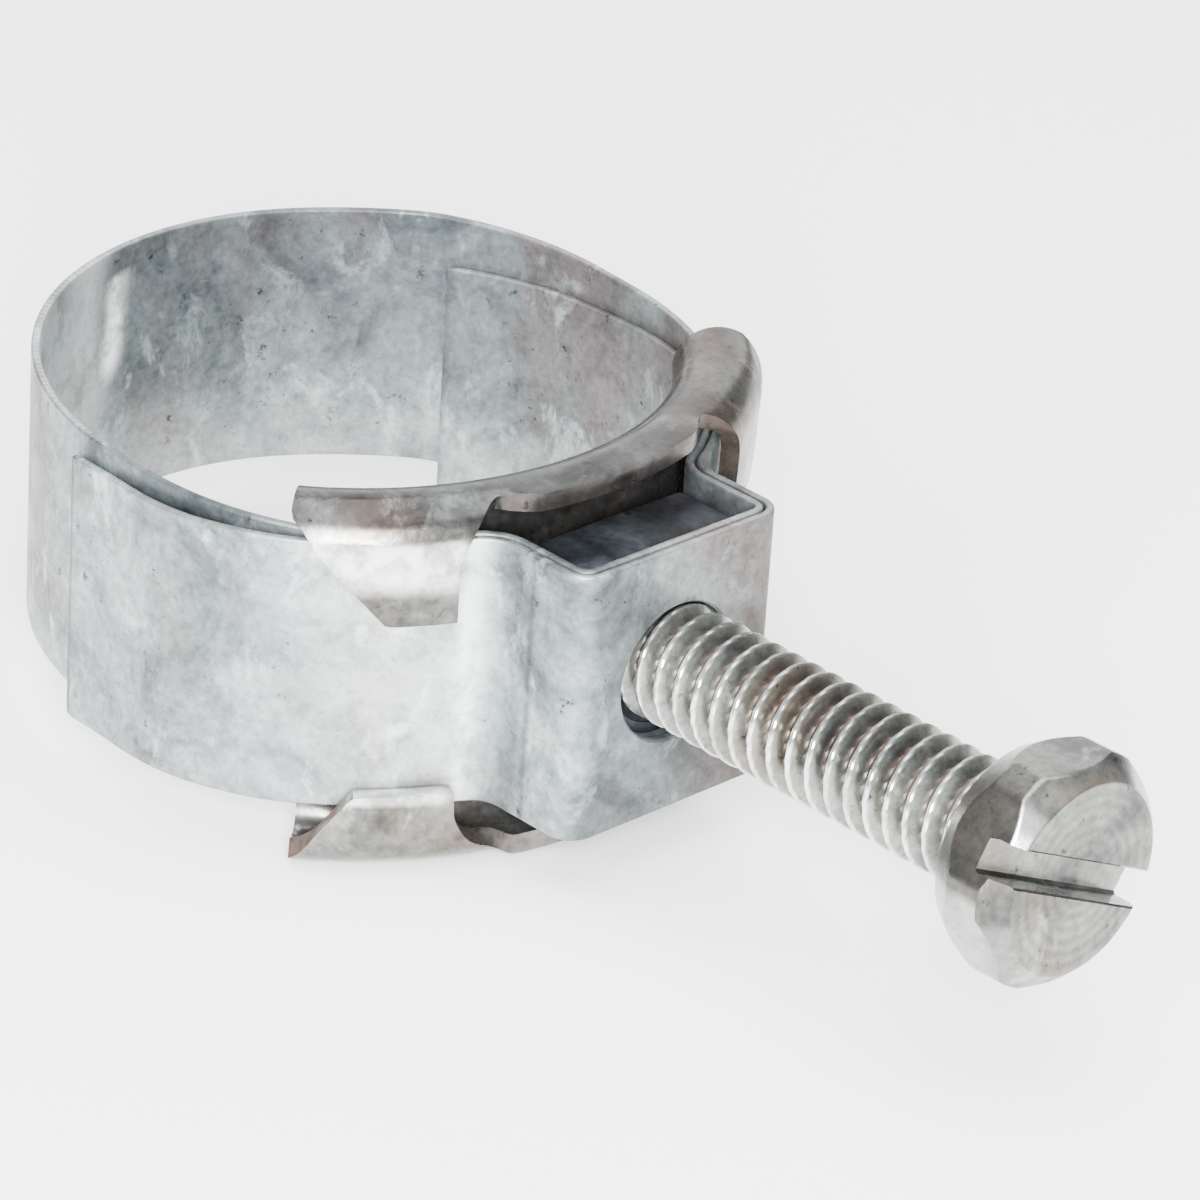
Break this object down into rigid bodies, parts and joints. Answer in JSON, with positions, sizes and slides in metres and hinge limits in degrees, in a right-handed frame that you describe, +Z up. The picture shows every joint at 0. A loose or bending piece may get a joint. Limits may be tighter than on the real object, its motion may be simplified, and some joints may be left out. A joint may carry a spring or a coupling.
{
  "type": "hose clamp",
  "caption": "Bolted hose clamp: a strip wound twice round the hose and bent into a tower that holds a square nut and a slotted hex screw, with a clawed bridge plate under it.",
  "frame": {"origin": "on the hose axis, at the middle of the tower's height", "axes": "+Z along the hose axis, -Y from the hose axis out through the tower and along the screw to its head, +X to the right seen from the screw head with +Z up"},
  "size_m": [0.0338, 0.0666, 0.0208],
  "materials": {
    "strip_zinc": "dull zinc plate, cloudy, with stains",
    "bridge_zinc": "dull dark zinc plate with bare rusting cut edges",
    "nut_zinc": "dull dark zinc plate",
    "screw_zinc": "bright zinc plate with a yellow tint and rust in the thread roots"
  },
  "bodies": {
    "strap": {"band": "strip_zinc", "bridge": "bridge_zinc"},
    "screw_body": {"screw": "screw_zinc"},
    "nut_body": {"nut": "nut_zinc"}
  },
  "joints": [
    {"name": "screw_turn", "type": "hinge", "parent": "strap", "child": "screw_body", "pos_m": [0, -0.0339, 0.0007], "axis": [0, 1, 0], "range_deg": [0, 2268]},
    {"name": "nut_travel", "type": "slide", "parent": "strap", "child": "nut_body", "axis": [0, -1, 0], "range_m": [0, 0.008], "deforming": ["band"]}
  ],
  "couplings": [
    {"joint": "screw_turn", "follows": "nut_travel", "rad_per_m": 4947.4}
  ]
}
